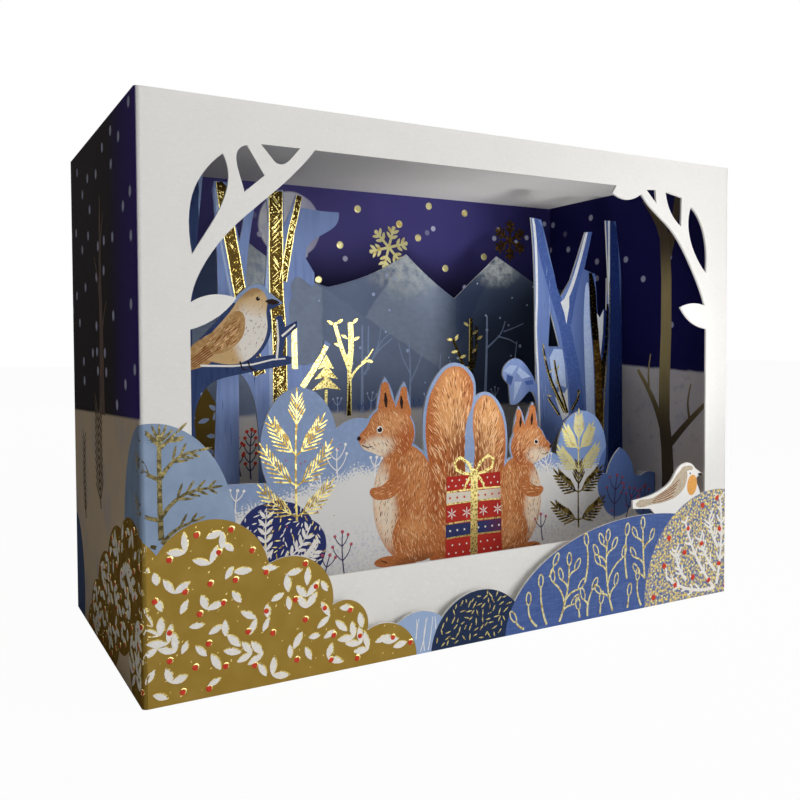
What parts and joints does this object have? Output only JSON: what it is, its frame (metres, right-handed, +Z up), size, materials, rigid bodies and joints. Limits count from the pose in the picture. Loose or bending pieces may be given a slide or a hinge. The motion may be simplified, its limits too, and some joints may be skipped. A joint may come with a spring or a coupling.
{
  "type": "three-dimensional window greeting card",
  "caption": "Free-standing box-shaped greeting card: a folded board sleeve with a die-cut window over layered die-cut winter woodland panels.",
  "frame": {"origin": "centre of the footprint, on the surface that the card stands on", "axes": "+X to the right along the front, +Y from the front to the back, +Z up"},
  "size_m": [0.15, 0.072, 0.11],
  "materials": {
    "sleeve_board": "uncoated white board, printed, with gold foil",
    "branch_board": "uncoated white board, printed, with gold foil",
    "tree_board": "uncoated white board, printed blue, with gold foil",
    "mountain_board": "uncoated white board, printed slate blue, with gold foil"
  },
  "bodies": {
    "root": {"card_sleeve": "sleeve_board", "branch_panel": "branch_board", "tree_panel": "tree_board", "mountain_panel": "mountain_board"}
  },
  "joints": []
}
